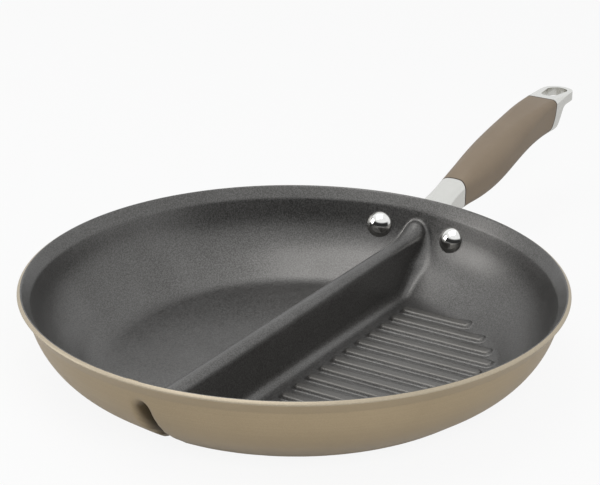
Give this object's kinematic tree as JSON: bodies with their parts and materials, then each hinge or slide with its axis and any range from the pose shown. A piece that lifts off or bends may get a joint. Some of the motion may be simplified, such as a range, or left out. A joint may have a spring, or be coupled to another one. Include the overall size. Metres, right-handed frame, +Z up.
{
  "type": "divided frying pan",
  "caption": "Round frying pan whose raised centre fold parts a smooth half from a ribbed half, with a riveted handle that has a soft grip and a hanging loop.",
  "frame": {"origin": "centre of the pan's base, on the surface that the pan stands on", "axes": "+Z up, +X along the divider towards the handle, +Y towards the smooth griddle half"},
  "size_m": [0.5219, 0.3174, 0.0751],
  "materials": {
    "pan_metal": "hard-anodised aluminium: satin bronze outside, speckled dark grey non-stick coat inside",
    "handle_steel": "satin cast stainless steel",
    "grip_silicone": "matte taupe silicone",
    "rivet_steel": "mirror-polished stainless steel"
  },
  "bodies": {
    "root": {"pan_body": "pan_metal", "handle_core": "handle_steel", "handle_grip": "grip_silicone", "rivet_griddle_side": "rivet_steel", "rivet_grill_side": "rivet_steel"}
  },
  "joints": []
}
